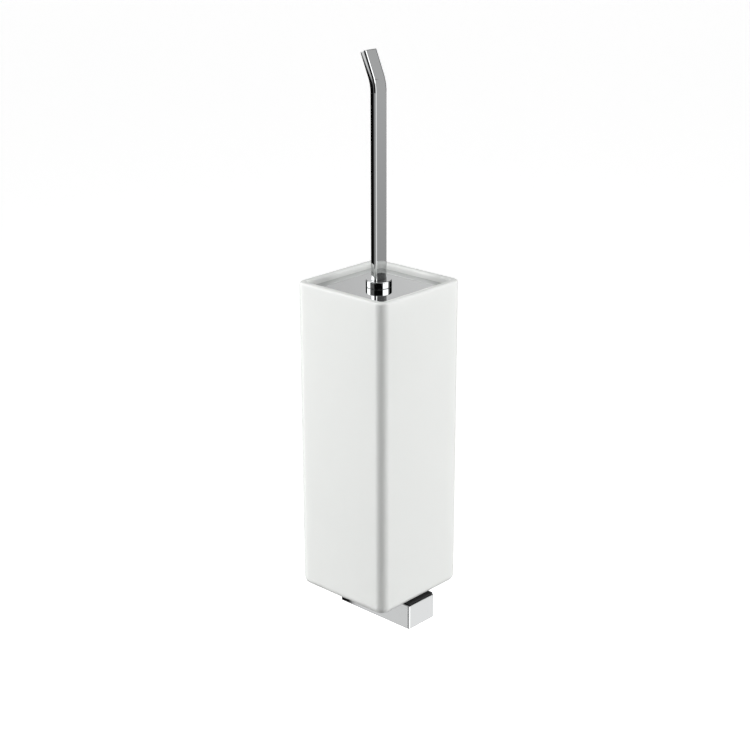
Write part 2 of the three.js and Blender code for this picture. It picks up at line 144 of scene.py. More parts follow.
def make(name, shape, material, body, replaces=()):
    """An object of the shape that rides on a body, with smooth faces that stay sharp at real edges."""
    vertices, faces = shape
    mesh = bpy.data.meshes.new(name)
    mesh.from_pydata(vertices, [], faces)
    mesh.validate()
    mesh.materials.append(material)
    mesh.polygons.foreach_set("use_smooth", [True] * len(mesh.polygons))
    mesh.set_sharp_from_angle(angle=math.radians(SHARP))
    piece = bpy.data.objects.new(name, mesh)
    bpy.context.scene.collection.objects.link(piece)
    normals = piece.modifiers.new("normals", "WEIGHTED_NORMAL")
    normals.weight = 100
    normals.keep_sharp = True
    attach(piece, body)
    if replaces:
        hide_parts(*replaces)
    return piece


def combine(piece, shapes, operation="DIFFERENCE"):
    """Cuts closed shapes out of a piece, or joins them to it, and keeps the result as its mesh."""
    normals = piece.modifiers["normals"]
    normals.show_viewport = False
    for vertices, faces in shapes:
        mesh = bpy.data.meshes.new("tool")
        mesh.from_pydata(vertices, [], faces)
        tool = bpy.data.objects.new("tool", mesh)
        bpy.context.scene.collection.objects.link(tool)
        boolean = piece.modifiers.new("boolean", "BOOLEAN")
        boolean.object = tool
        boolean.operation = operation
        boolean.solver = "EXACT"
        piece.modifiers.move(len(piece.modifiers) - 1, 0)
        bpy.context.view_layer.update()
        graph = bpy.context.evaluated_depsgraph_get()
        result = bpy.data.meshes.new_from_object(piece.evaluated_get(graph))
        piece.modifiers.remove(boolean)
        piece.data = result
        bpy.data.objects.remove(tool)
    piece.data.set_sharp_from_angle(angle=math.radians(SHARP))
    normals.show_viewport = True


def moved(shape, x=0.0, y=0.0, z=0.0):
    vertices, faces = shape
    return [(a + x, b + y, c + z) for a, b, c in vertices], faces


def rod(radius, bottom, top, y=AXIS_Y, segments=48):
    """An upright rod on the holder's middle plane."""
    return moved(turned([(0, bottom), (radius, bottom), (radius, top), (0, top)], segments), 0, y - AXIS_Y)


def rounded_slab(half_x, half_y, corner, bottom, top, edge, middle_y=AXIS_Y, steps=8):
    """A flat plate with rounded corners and rounded edges."""
    rings = []
    sides = [(edge - rise, edge - across) for across, rise in arc(0, 0, edge, 0, 90, 3)]
    levels = [(bottom + up, inset) for up, inset in reversed(sides)]
    levels += [(top - up, inset) for up, inset in sides]
    for z, inset in levels:
        outline = rectangle(half_x - inset, half_y - inset, max(corner - inset, LEAST_ROUND), steps)
        rings.append([(AXIS_X + x, middle_y + y, z) for x, y in outline])
    return skin(rings)


def hexagon(flats, bottom, top, chamfer=0.0, y=AXIS_Y):
    """A hexagonal prism; with a chamfer its corners are turned off at both ends, as on a nut."""
    rings = []
    apothem, steps = flats / 2, 48
    levels = ((bottom, 1, True), (bottom, 1, False), (top, -1, False), (top, -1, True))
    for z, direction, at_end in levels:
        ring = []
        for i in range(steps):
            angle = 2 * math.pi * i / steps
            from_flat = (angle + math.pi / 6) % (math.pi / 3) - math.pi / 6
            radius = apothem / math.cos(from_flat)
            turned_off = min(radius, apothem - chamfer) if at_end else radius
            drop = 0 if at_end else (radius - apothem + chamfer) * math.tan(math.pi / 6)
            ring.append((AXIS_X + turned_off * math.cos(angle), y + turned_off * math.sin(angle),
                         z + direction * drop))
        if chamfer or not at_end:
            rings.append(ring)
    return skin(rings)


# ---- Materials ----


def principled(name, colour, metallic=0.0, roughness=0.5):
    """A new material with its nodes, its links and its shader."""
    material = bpy.data.materials.new(name)
    material.use_nodes = True
    nodes, links = material.node_tree.nodes, material.node_tree.links
    shader = nodes["Principled BSDF"]
    shader.inputs["Base Color"].default_value = (*colour, 1)
    shader.inputs["Metallic"].default_value = metallic
    shader.inputs["Roughness"].default_value = roughness
    return material, nodes, links, shader


def noise(nodes, links, scale, detail=3.0, stretch=(1, 1, 1)):
    """Noise in object space, its pattern stretched along an axis by a small number there."""
    place = nodes.new("ShaderNodeTexCoord")
    mapping = nodes.new("ShaderNodeMapping")
    mapping.inputs["Scale"].default_value = stretch
    texture = nodes.new("ShaderNodeTexNoise")
    texture.inputs["Scale"].default_value = scale
    texture.inputs["Detail"].default_value = detail
    links.new(place.outputs["Object"], mapping.inputs["Vector"])
    links.new(mapping.outputs["Vector"], texture.inputs["Vector"])
    return texture.outputs["Fac"]


def spread(nodes, links, value, low, high):
    """The value's middle range, carried to between low and high."""
    ranged = nodes.new("ShaderNodeMapRange")
    ranged.inputs["From Min"].default_value = 0.3
    ranged.inputs["From Max"].default_value = 0.7
    ranged.inputs["To Min"].default_value = low
    ranged.inputs["To Max"].default_value = high
    links.new(value, ranged.inputs["Value"])
    return ranged.outputs["Result"]


def tint(nodes, links, value, dark, light):
    """A colour between dark and light."""
    mix = nodes.new("ShaderNodeMix")
    mix.data_type = "RGBA"
    mix.inputs[6].default_value = (*dark, 1)
    mix.inputs[7].default_value = (*light, 1)
    links.new(value, mix.inputs[0])
    return mix.outputs[2]


def bump(nodes, links, shader, height, strength, distance):
    node = nodes.new("ShaderNodeBump")
    node.inputs["Strength"].default_value = strength
    node.inputs["Distance"].default_value = distance
    links.new(height, node.inputs["Height"])
    links.new(node.outputs["Normal"], shader.inputs["Normal"])


def chrome():
    """Mirror chrome: faint wipe marks in the gloss and a slight ripple from polishing."""
    material, nodes, links, shader = principled("chrome", (0.6, 0.608, 0.61), 1.0, 0.03)
    wipes = noise(nodes, links, 90, 4, (1, 1, 0.15))
    links.new(spread(nodes, links, wipes, 0.012, 0.045), shader.inputs["Roughness"])
    bump(nodes, links, shader, noise(nodes, links, 35, 2), 0.015, 0.4 * MM)
    return material


def satin_steel(name, colour, roughness):
    """Turned or rolled steel with fine lines in its gloss."""
    material, nodes, links, shader = principled(name, colour, 1.0, roughness)
    lines = noise(nodes, links, 900, 3, (1, 1, 0.06))
    links.new(spread(nodes, links, lines, roughness - 0.08, roughness + 0.1), shader.inputs["Roughness"])
    dark = [0.9 * c for c in colour]
    links.new(tint(nodes, links, lines, dark, colour), shader.inputs["Base Color"])
    bump(nodes, links, shader, lines, 0.08, 0.05 * MM)
    return material


def satin_glass():
    """White etched glass: a fine grain, a soft sheen, light that spreads inside the wall, and
    painted shade: a base colour that turns greyer where the surface is seen at a grazing angle."""
    material, nodes, links, shader = principled("satin_glass", (0.86, 0.875, 0.86), 0.0, 0.42)
    cloud = tint(nodes, links, noise(nodes, links, 18, 3), (0.852, 0.87, 0.85), (0.877, 0.889, 0.87))
    # painted shade: the base colour is mixed toward grey at grazing angles, darkening the silhouettes and
    # the rim's outline
    painted_shade_at_grazing = nodes.new("ShaderNodeLayerWeight").outputs["Facing"]
    ranged = nodes.new("ShaderNodeMapRange")
    ranged.inputs["From Min"].default_value = 0.5
    links.new(painted_shade_at_grazing, ranged.inputs["Value"])
    edge = nodes.new("ShaderNodeMix")
    edge.data_type = "RGBA"
    edge.inputs[7].default_value = (0.56, 0.57, 0.558, 1)
    links.new(ranged.outputs["Result"], edge.inputs[0])
    links.new(cloud, edge.inputs[6])
    links.new(edge.outputs[2], shader.inputs["Base Color"])
    grain = noise(nodes, links, 2600, 2)
    links.new(spread(nodes, links, grain, 0.38, 0.48), shader.inputs["Roughness"])
    bump(nodes, links, shader, grain, 0.06, 0.05 * MM)
    shader.inputs["Subsurface Weight"].default_value = 0.6
    shader.inputs["Subsurface Radius"].default_value = (1.0, 1.0, 1.0)
    shader.inputs["Subsurface Scale"].default_value = 8 * MM
    shader.inputs["IOR"].default_value = 1.5
    return material


def rubber():
    material, nodes, links, shader = principled("rubber", (0.015, 0.015, 0.016), 0.0, 0.7)
    grain = noise(nodes, links, 1400, 3)
    links.new(tint(nodes, links, grain, (0.01, 0.01, 0.011), (0.026, 0.026, 0.027)),
              shader.inputs["Base Color"])
    links.new(spread(nodes, links, grain, 0.6, 0.82), shader.inputs["Roughness"])
    bump(nodes, links, shader, grain, 0.25, 0.08 * MM)
    shader.inputs["Specular IOR Level"].default_value = 0.3
    return material


def nylon():
    material, nodes, links, shader = principled("nylon", (0.8, 0.8, 0.77), 0.0, 0.45)
    cloud = noise(nodes, links, 160, 3)
    links.new(tint(nodes, links, cloud, (0.77, 0.77, 0.735), (0.82, 0.82, 0.795)),
              shader.inputs["Base Color"])
    links.new(spread(nodes, links, cloud, 0.38, 0.52), shader.inputs["Roughness"])
    bump(nodes, links, shader, noise(nodes, links, 1800, 2), 0.1, 0.05 * MM)
    shader.inputs["Subsurface Weight"].default_value = 0.15
    shader.inputs["Subsurface Scale"].default_value = 2 * MM
    return material


def fibre():
    """Nylon filaments: near white, slightly mottled, with a soft shine."""
    material, nodes, links, shader = principled("fibre", (0.86, 0.86, 0.84), 0.0, 0.35)
    strand = noise(nodes, links, 420, 2)
    links.new(tint(nodes, links, strand, (0.76, 0.765, 0.75), (0.9, 0.9, 0.885)),
              shader.inputs["Base Color"])
    links.new(spread(nodes, links, strand, 0.3, 0.45), shader.inputs["Roughness"])
    bump(nodes, links, shader, strand, 0.1, 0.05 * MM)
    shader.inputs["Subsurface Weight"].default_value = 0.2
    shader.inputs["Subsurface Scale"].default_value = 1 * MM
    return material


CHROME = chrome()
STEEL = satin_steel("steel", (0.62, 0.63, 0.635), 0.28)
GLASS = satin_glass()
RUBBER = rubber()
NYLON = nylon()
FIBRE = fibre()

# ---- Container ----

CORNER = 8 * MM
BOTTOM_FILLET = 6 * MM
RIM_ROUND = 1.6 * MM
WALL = 6 * MM
LEDGE_WALL = 8 * MM
FLOOR = 10 * MM
FLOOR_FILLET = 4 * MM
LEDGE_DROP = 7.7 * MM
LEDGE_ROUND = 0.5 * MM
LEAST_CORNER = 2.5 * MM
HOLE_RADIUS = 5 * MM
THREAD_HOLE = 2.8 * MM  # round an M5 screw
GRUB_HOLE = 2.3 * MM  # round an M4 grub screw
BOSS_WIDTH = 24 * MM
BOSS_HEIGHT = 15 * MM
BOSS_EDGE = 0.3 * MM
POCKET_SPARE = 0.8 * MM  # depth of the arm's pocket past the block
ARM_EDGE = 0.45 * MM
PLATE_EDGE = 0.4 * MM  # of the wall plate where it meets the arm
PLATE_WALL_EDGE = 0.85 * MM


def glass_container():
    half = (glass_high.x - glass_low.x) / 2
    bore, cavity = half - WALL, half - LEDGE_WALL
    bottom, floor = glass_low.z, glass_low.z + FLOOR
    profile = [
        *arc(half - BOTTOM_FILLET, bottom + BOTTOM_FILLET, BOTTOM_FILLET, -90, 0, 12),
        *arc(half - RIM_ROUND, RIM - RIM_ROUND, RIM_ROUND, 0, 90, 8),
        *arc(bore + RIM_ROUND, RIM - RIM_ROUND, RIM_ROUND, 90, 180, 8),
        (bore, RIM - LEDGE_DROP),
        *arc(cavity + LEDGE_ROUND, RIM - LEDGE_DROP - LEDGE_ROUND, LEDGE_ROUND, 90, 180, 3),
        *arc(cavity - FLOOR_FILLET, floor + FLOOR_FILLET, FLOOR_FILLET, 0, -90, 8),
    ]
    shape = square_turned(profile, half, CORNER, LEAST_CORNER, 16)
    piece = make("satin_container", shape, GLASS, "holder", ["glass_container"])
    combine(piece, [rod(HOLE_RADIUS, bottom - PAST, floor + PAST, y) for y in SCREW_YS])


# ---- Arm ----


def bar_along_y(low, high, edge, wall_edge=None, steps=4):
    """A bar that lies along Y, with its long edges and its end edges rounded. The edges of the end
    on the wall's side can have a rounding of their own."""
    half_x, half_z = (high.x - low.x) / 2, (high.z - low.z) / 2
    x, z = (high.x + low.x) / 2, (high.z + low.z) / 2

    def ring(y, inset):
        outline = rectangle(half_x - inset, half_z - inset, max(1.2 * edge - inset, LEAST_ROUND), steps)
        return [(x + a, y, z - b) for a, b in outline]

    far = [ring(low.y + edge - rise, edge - across) for across, rise in arc(0, 0, edge, 0, 90, steps)]
    wall_edge = wall_edge or edge
    quarter = arc(0, 0, wall_edge, 0, 90, 2 * steps)
    near = [ring(high.y - wall_edge + rise, wall_edge - across) for across, rise in quarter]
    return skin([*reversed(far), *near])


def arm():
    bar = bar_along_y(arm_low, arm_high, ARM_EDGE)
    piece = make("chrome_arm", bar, CHROME, "holder", ["arm"])
    play = Vector((GAP, 0, GAP))
    pocket_low = Vector((-BOSS_WIDTH / 2, fixing_low.y - POCKET_SPARE, -BOSS_HEIGHT / 2)) - play
    pocket_high = Vector((BOSS_WIDTH / 2, fixing_high.y + PAST, BOSS_HEIGHT / 2)) + play
    grub_y = (grub_low.y + grub_high.y) / 2
    threads = [rod(THREAD_HOLE, screw_end - PAST, arm_high.z + PAST, y) for y in SCREW_YS]
    grub_hole = rod(GRUB_HOLE, arm_low.z - PAST, -BOSS_HEIGHT / 2, grub_y)
    combine(piece, [bar_along_y(pocket_low, pocket_high, BOSS_EDGE), grub_hole, *threads])


def wall_fixing():
    """The plate on the wall with the block behind it that the arm slides onto."""
    plate_low = Vector((fixing_low.x, arm_high.y + SLIP, fixing_low.z))
    plate = bar_along_y(plate_low, fixing_high, PLATE_EDGE, PLATE_WALL_EDGE)
    piece = make("wall_plate", plate, CHROME, "holder", ["wall_fixing"])
    boss_low = Vector((-BOSS_WIDTH / 2, fixing_low.y, -BOSS_HEIGHT / 2))
    boss_high = Vector((BOSS_WIDTH / 2, plate_low.y / 2, BOSS_HEIGHT / 2))
    combine(piece, [bar_along_y(boss_low, boss_high, BOSS_EDGE)], "UNION")
    grub_y = (grub_low.y + grub_high.y) / 2
    combine(piece, [rod(GRUB_HOLE, -BOSS_HEIGHT, grub_high.z + GAP, grub_y)])


glass_container()
arm()
wall_fixing()

# ---- What clamps the container to the arm ----

SCREW_RADIUS = 2.5 * MM
SCREW_HEAD = 2.8 * MM  # height
SCREW_HEAD_FOOT = 0.2 * MM
SCREW_DOME = 2.0 * MM
SCREW_SOCKET = 3 * MM  # across the flats
SCREW_SOCKET_DEPTH = 1.8 * MM
THREAD_CHAMFER = 0.7 * MM
THREAD_PITCH = 0.8 * MM
THREAD_DEPTH = 0.35 * MM
THREAD_STOP = MM  # from a thread's end to the head or the handle's foot
CREST_START = 0.45  # of a thread's flat crest, as shares of the pitch
CREST_END = 0.55
BUSH_EDGE = 0.3 * MM
GRUB_SOCKET = 2 * MM  # across the flats, and deep
GRUB_CHAMFER = 0.35 * MM
GRUB_THREAD_START = 0.3 * MM
GRUB_POINT = 1.2 * MM
GRUB_PITCH = 0.7 * MM


def strip(name, node, material, corner, edge, hole):
    """A flat strip with a hole for each of the two screws."""
    low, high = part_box(node)
    half_x, half_y = (high.x - low.x) / 2, (high.y - low.y) / 2
    shape = rounded_slab(half_x, half_y, corner, low.z, high.z, edge, (low.y + high.y) / 2)
    piece = make(name, shape, material, "holder", [node])
    combine(piece, [rod(hole, low.z - PAST, high.z + PAST, y) for y in SCREW_YS])


def bush(number, y):
    node = f"glass_bush_{number}"
    low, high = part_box(node)
    outer, edge = (high.x - low.x) / 2, BUSH_EDGE
    profile = [
        (THREAD_HOLE, low.z),
        *arc(outer - edge, low.z + edge, edge, -90, 0, 3),
        *arc(outer - edge, high.z - edge, edge, 0, 90, 3),
        (THREAD_HOLE, high.z),
        (THREAD_HOLE, low.z),
    ]
    shape = moved(turned(profile, 48), 0, y - AXIS_Y)
    make(f"nylon_bush_{number}", shape, NYLON, "holder", [node])


def threaded(radius, bottom, top, pitch=THREAD_PITCH):
    """Profile points of a thread between two levels, drawn as rings."""
    points = []
    root = radius - THREAD_DEPTH
    turns = int((top - bottom) / pitch)
    for i in range(turns):
        z = bottom + i * pitch
        points += [(root, z), (radius, z + CREST_START * pitch), (radius, z + CREST_END * pitch)]
    return [*points, (root, bottom + turns * pitch), (root, top)]


def clamp_screw(number, y):
    """An M5 button-head screw with a hexagonal socket."""
    node = f"clamp_screw_{number}"
    low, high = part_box(node)
    head, head_bottom = (high.x - low.x) / 2, high.z - SCREW_HEAD
    foot, dome = SCREW_HEAD_FOOT, SCREW_DOME
    radius, chamfer = SCREW_RADIUS, THREAD_CHAMFER
    profile = [
        (0, low.z),
        (radius - chamfer, low.z),
        *threaded(radius, low.z + chamfer, head_bottom - THREAD_STOP),
        (radius, head_bottom),
        *arc(head - foot, head_bottom + foot, foot, -90, 0, 2),
        *arc(head - dome, high.z - dome, dome, 0, 90, 8),
        (0, high.z),
    ]
    shape = moved(turned(profile, 48), 0, y - AXIS_Y)
    piece = make(f"button_screw_{number}", shape, STEEL, "holder", [node])
    combine(piece, [hexagon(SCREW_SOCKET, high.z - SCREW_SOCKET_DEPTH, high.z + PAST, 0.0, y)])


def grub_screw():
    y, radius = (grub_low.y + grub_high.y) / 2, (grub_high.x - grub_low.x) / 2
    thread_bottom, thread_top = grub_low.z + GRUB_THREAD_START, grub_high.z - GRUB_POINT
    profile = [
        (0, grub_low.z),
        (radius - GRUB_CHAMFER, grub_low.z),
        *threaded(radius, thread_bottom, thread_top, GRUB_PITCH),
        (radius - GRUB_POINT, grub_high.z),
        (0, grub_high.z),
    ]
    shape = moved(turned(profile, 48), 0, y - AXIS_Y)
    piece = make("grub_screw", shape, STEEL, "holder", ["arm_grub_screw"])
    combine(piece, [hexagon(GRUB_SOCKET, grub_low.z - PAST, grub_low.z + GRUB_SOCKET, 0.0, y)])


strip("rubber_gasket", "base_gasket", RUBBER, corner=1 * MM, edge=0.25 * MM, hole=HOLE_RADIUS)
strip("rubber_pad", "clamp_pad", RUBBER, corner=5 * MM, edge=0.4 * MM, hole=THREAD_HOLE)
strip("steel_clamp", "clamp_plate", STEEL, corner=4 * MM, edge=0.3 * MM, hole=THREAD_HOLE)
for screw_number, screw_y in enumerate(SCREW_YS, 1):
    bush(screw_number, screw_y)
    clamp_screw(screw_number, screw_y)
grub_screw()

# ---- Lid, collar and handle ----

BORE = 2.8 * MM  # of the lid, the collar and the stem, round the handle's stud
LID_CORNER = 2.6 * MM
LID_EDGE = 0.4 * MM
COLLAR_EDGE = 0.55 * MM
COLLAR_FOOT = 0.15 * MM
NEARLY_ROUND = 0.999  # a corner radius of the whole half side would leave points on one another


def lid():
    half = (lid_high.x - lid_low.x) / 2
    top = arc(half - LID_EDGE, lid_high.z - LID_EDGE, LID_EDGE, 0, 90, 4)

    def bore_ring(z):
        outline = rectangle(half, half, half * NEARLY_ROUND, 12)
        return [(AXIS_X + BORE * x / half, AXIS_Y + BORE * y / half, z) for x, y in outline]

    rings = [bore_ring(lid_low.z)]
    for a, z in [(half, lid_low.z), *top]:
        radius = LID_CORNER - (half - a)
        rings.append([(AXIS_X + x, AXIS_Y + y, z) for x, y in rectangle(a, a, radius, 12)])
    rings.append(bore_ring(lid_high.z))
    make("chrome_lid", skin(rings, closed=True), CHROME, "brush", ["lid_plate"])


def collar():
    radius = (collar_high.x - collar_low.x) / 2
    low, high = collar_low.z, collar_high.z
    edge, foot = COLLAR_EDGE, COLLAR_FOOT
    profile = [
        (BORE, low),
        (radius - foot, low),
        *arc(radius - foot, low + foot, foot, -60, 0, 2),
        *arc(radius - edge, high - edge, edge, 0, 90, 6),
        (BORE, high),
        (BORE, low),
    ]
    make("chrome_collar", turned(profile, 128), CHROME, "brush", ["handle_collar"])


HANDLE_THICKNESS = 5.6 * MM
HANDLE_EDGE = 1.5 * MM
BEND_RADIUS = 30 * MM
BEND_ANGLE = math.radians(23.5)
TIP_LENGTH = 19 * MM
TIP_EDGE = 0.5 * MM
STUD_RADIUS = 2.5 * MM
STUD_CHAMFER = 0.5 * MM
STUD_IN_HANDLE = 3 * MM


def handle():
    half_width = (handle_high.x - handle_low.x) / 2
    half_through = HANDLE_THICKNESS / 2
    foot = collar_high.z + SLIP
    tip_rise = TIP_LENGTH * math.cos(BEND_ANGLE) + half_through * math.sin(BEND_ANGLE)
    bend_start = handle_high.z - tip_rise - BEND_RADIUS * math.sin(BEND_ANGLE) - foot
    bend_end = bend_start + BEND_RADIUS * BEND_ANGLE

    def section(length, inset):
        bent = min(max((length - bend_start) / BEND_RADIUS, 0), BEND_ANGLE)
        past = max(length - bend_end, 0)
        y = AXIS_Y - BEND_RADIUS * (1 - math.cos(bent)) - past * math.sin(bent)
        z = foot + min(length, bend_start) + BEND_RADIUS * math.sin(bent) + past * math.cos(bent)
        outline = rectangle(half_width - inset, half_through - inset, HANDLE_EDGE * 1.05 - inset, 6)
        return [(AXIS_X + a, y + b * math.cos(bent), z + b * math.sin(bent)) for a, b in outline]

    steps = 32
    bend = bend_end - bend_start
    rings = [section(0, 0)]
    rings += [section(bend_start + bend * i / steps, 0) for i in range(steps + 1)]
    end = bend_end + TIP_LENGTH - TIP_EDGE
    quarter = arc(0, 0, TIP_EDGE, 0, 90, 6)
    rings += [section(end + reach, TIP_EDGE - across) for across, reach in quarter]
    piece = make("chrome_handle", skin(rings), CHROME, "brush", ["handle_bar"])
    stud = turned([
        (0, handle_low.z),
        (STUD_RADIUS - STUD_CHAMFER, handle_low.z),
        *threaded(STUD_RADIUS, handle_low.z + STUD_CHAMFER, foot - THREAD_STOP),
        (STUD_RADIUS, foot + STUD_IN_HANDLE),
        (0, foot + STUD_IN_HANDLE),
    ], 48)
    combine(piece, [stud], "UNION")


lid()
collar()
handle()

# ---- Under the lid ----

SEAL_LIP = 36.4 * MM  # half sides of the seal's lip, outside and inside
SEAL_INNER = 34.4 * MM
SEAL_FLANGE = 1.2 * MM
SEAL_EDGE = 0.35 * MM
SEAL_CORNER = 3 * MM
WASHER_EDGE = 0.25 * MM
NUT_FLATS = 8 * MM
NUT_CHAMFER = 0.25 * MM
STEM_RADIUS = 3.5 * MM
SOCKET_RADIUS = 4.5 * MM
SOCKET_LENGTH = 18 * MM
SOCKET_BORE_DEPTH = 14 * MM
SOCKET_EDGE = 0.5 * MM
SOCKET_TAPER = 2 * MM
GROOVES = 3  # round the socket, for grip
GROOVES_START = 6  # above the socket's lower end, in mm
GROOVE_SPACING = 1.4  # in mm
GROOVE_DEPTH = 0.3 * MM
GROOVE_SLOPE = 0.2 * MM  # height of each sloping side
GROOVE_WIDTH = 0.7 * MM


def lid_seal():
    low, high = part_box("lid_seal")
    outer = (high.x - low.x) / 2
    lip, inner, edge = SEAL_LIP, SEAL_INNER, SEAL_EDGE
    flange = high.z - SEAL_FLANGE
    profile = [
        *arc(inner + edge, low.z + edge, edge, 180, 270, 3),
        *arc(lip - edge, low.z + edge, edge, -90, 0, 3),
        (lip, flange),
        *arc(outer - edge, flange + edge, edge, -90, 0, 3),
        *arc(outer - edge, high.z - edge, edge, 0, 90, 3),
        *arc(inner + edge, high.z - edge, edge, 90, 180, 3),
    ]
    shape = square_turned(profile, outer, SEAL_CORNER, LEAST_CORNER, 8, closed=True)
    make("rubber_seal", shape, RUBBER, "brush", ["lid_seal"])


def lid_washer():
    low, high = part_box("lid_washer")
    outer, edge = (high.x - low.x) / 2, WASHER_EDGE
    profile = [
        (THREAD_HOLE, low.z),
        *arc(outer - edge, low.z + edge, edge, -90, 0, 3),
        *arc(outer - edge, high.z - edge, edge, 0, 90, 3),
        (THREAD_HOLE, high.z),
        (THREAD_HOLE, low.z),
    ]
    make("nylon_washer", turned(profile), NYLON, "brush", ["lid_washer"])


def lid_nut():
    low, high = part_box("lid_nut")
    shape = hexagon(NUT_FLATS, low.z, high.z, NUT_CHAMFER)
    piece = make("steel_nut", shape, STEEL, "brush", ["lid_nut"])
    combine(piece, [rod(THREAD_HOLE, low.z - PAST, high.z + PAST)])


def stem():
    """The rod, with a thicker socket on top that screws onto the handle's stud."""
    radius, socket = STEM_RADIUS, SOCKET_RADIUS
    chamfer, edge = THREAD_CHAMFER, SOCKET_EDGE
    socket_bottom = stem_high.z - SOCKET_LENGTH
    bore_bottom = stem_high.z - SOCKET_BORE_DEPTH
    groove = socket - GROOVE_DEPTH
    grooves = []
    for i in range(GROOVES):
        z = socket_bottom + (GROOVES_START + GROOVE_SPACING * i) * MM
        grooves += [(socket, z), (groove, z + GROOVE_SLOPE)]
        grooves += [(groove, z + GROOVE_WIDTH - GROOVE_SLOPE), (socket, z + GROOVE_WIDTH)]
    profile = [
        (0, stem_low.z),
        (radius - chamfer, stem_low.z),
        (radius, stem_low.z + chamfer),
        (radius, socket_bottom - SOCKET_TAPER),
        (socket, socket_bottom),
        *grooves,
        *arc(socket - edge, stem_high.z - edge, edge, 0, 90, 4),
        (BORE, stem_high.z),
        (BORE, bore_bottom),
        (0, bore_bottom),
    ]
    make("steel_stem", turned(profile), STEEL, "brush", ["brush_stem"])


# ---- Brush head ----

CORE_RADIUS = 6.5 * MM
CORE_EDGE = MM
CORE_BORE = 3.8 * MM
BORE_SPARE = 2 * MM  # depth of the core's bore past the stem's end
NECK_RADIUS = 8 * MM
NECK_LENGTH = 9 * MM
NECK_FOOT = 0.6 * MM
NECK_ROUND = 2 * MM
NECK_SLOPE = 2 * MM  # height of the slope under the neck
ROW_COLLAR = 0.25 * MM  # how far the low collar round each row of tufts stands out
ROW_COLLAR_FOOT = 1.9 * MM  # half its height at the core
ROW_COLLAR_TOP = 1.5 * MM  # and at its face


def core():
    """The moulded core: a neck on top, and a low collar round each row of tufts."""
    bore_bottom = stem_low.z - BORE_SPARE
    neck_bottom = core_high.z - NECK_LENGTH
    collar_radius = CORE_RADIUS + ROW_COLLAR
    profile = [(0, core_low.z), *arc(CORE_RADIUS - CORE_EDGE, core_low.z + CORE_EDGE, CORE_EDGE, -90, 0, 4)]
    for z in tuft_rows():
        profile += [(CORE_RADIUS, z - ROW_COLLAR_FOOT), (collar_radius, z - ROW_COLLAR_TOP)]
        profile += [(collar_radius, z + ROW_COLLAR_TOP), (CORE_RADIUS, z + ROW_COLLAR_FOOT)]
    profile += [
        (CORE_RADIUS, neck_bottom - NECK_SLOPE),
        *arc(NECK_RADIUS - NECK_FOOT, neck_bottom + NECK_FOOT, NECK_FOOT, -60, 0, 3),
        *arc(NECK_RADIUS - NECK_ROUND, core_high.z - NECK_ROUND, NECK_ROUND, 0, 90, 6),
        (CORE_BORE, core_high.z),
        (CORE_BORE, bore_bottom),
        (0, bore_bottom),
    ]
    make("nylon_core", turned(profile), NYLON, "brush", ["brush_core"])


ROWS = 11
TUFTS_IN_ROW = 16
FIBRES_IN_TUFT = 26
FIBRE_RADIUS = 0.2 * MM
FIBRE_TAPER = 0.25  # share of the radius that is gone at the tip
FIBRE_ROOT = 0.1 * MM  # depth of a filament's root in the core
ASKEW = Vector((0.31, 0.52, 0.8))  # a direction that no filament runs along
BRISTLE_ROUND = 8 * MM
ROW_MARGIN = 4 * MM  # from the first and last rows to the ends of the bristles
TUFT_RADIUS = 1.3 * MM
TUFT_FAN = 0.085  # sideways spread of the tips, in radians
TUFT_LEAN = 3 * MM  # of the tips of the first and last rows, away from the middle
TIP_SPREAD = 1.9  # standard deviations in mm: of the tips' heights, their trim and the sag
TIP_MARGIN = 0.3 * MM
TRIM_SPREAD = 0.5
SAG_SPREAD = 0.35
END_FIBRES_IN_TUFT = 34
END_TUFT_RADIUS = 1.0 * MM
END_BED_RADIUS = 5.3 * MM  # of all the end tufts at their roots
END_RINGS = ((2.1 * MM, 6, 0), (4.3 * MM, 12, 15))  # radius, tufts, first one's angle in degrees
LEAST_FAN = 0.55  # of a filament, as a share of the widest
END_DOME = 0.38  # rise of the outer tips, as a share of the length
END_TRIM_SPREAD = 0.25  # in mm
END_SAG = 0.15
END_DROOP = 0.3 * MM


def tuft_rows():
    first, last = side_low.z + ROW_MARGIN, side_high.z - ROW_MARGIN
    return [first + (last - first) * i / (ROWS - 1) for i in range(ROWS)]


def add_fibre(vertices, faces, root, tip, sag, steps=4):
    """A thin three-sided filament from root to tip that sags and narrows a little towards its tip."""
    along = (tip - root).normalized()
    side = along.cross(ASKEW).normalized()
    other = along.cross(side)
    start = len(vertices)
    for i in range(steps + 1):
        t = i / steps
        centre = root.lerp(tip, t) + sag * (4 * t * (1 - t))
        radius = FIBRE_RADIUS * (1 - FIBRE_TAPER * t)
        for k in range(3):
            angle = 2 * math.pi * k / 3
            vertices.append(centre + (side * math.cos(angle) + other * math.sin(angle)) * radius)
    for i in range(steps):
        for k in range(3):
            low, next_low = start + 3 * i + k, start + 3 * i + (k + 1) % 3
            faces.append((low, next_low, next_low + 3, low + 3))
    last = start + 3 * steps
    faces.append((start + 2, start + 1, start))
    faces.append((last, last + 1, last + 2))


def side_reach(z):
    """How far from the axis the bristles reach at a height: less near the rounded ends."""
    inside_ends = min(z - side_low.z, side_high.z - z)
    short = max(BRISTLE_ROUND - inside_ends, 0)
    full = (side_high.x - side_low.x) / 2
    return full - BRISTLE_ROUND + math.sqrt(max(BRISTLE_ROUND ** 2 - short ** 2, 0))


def off_axis(radius, angle, z):
    """A point at a distance from the brush's axis."""
    return Vector((AXIS_X + radius * math.cos(angle), AXIS_Y + radius * math.sin(angle), z))


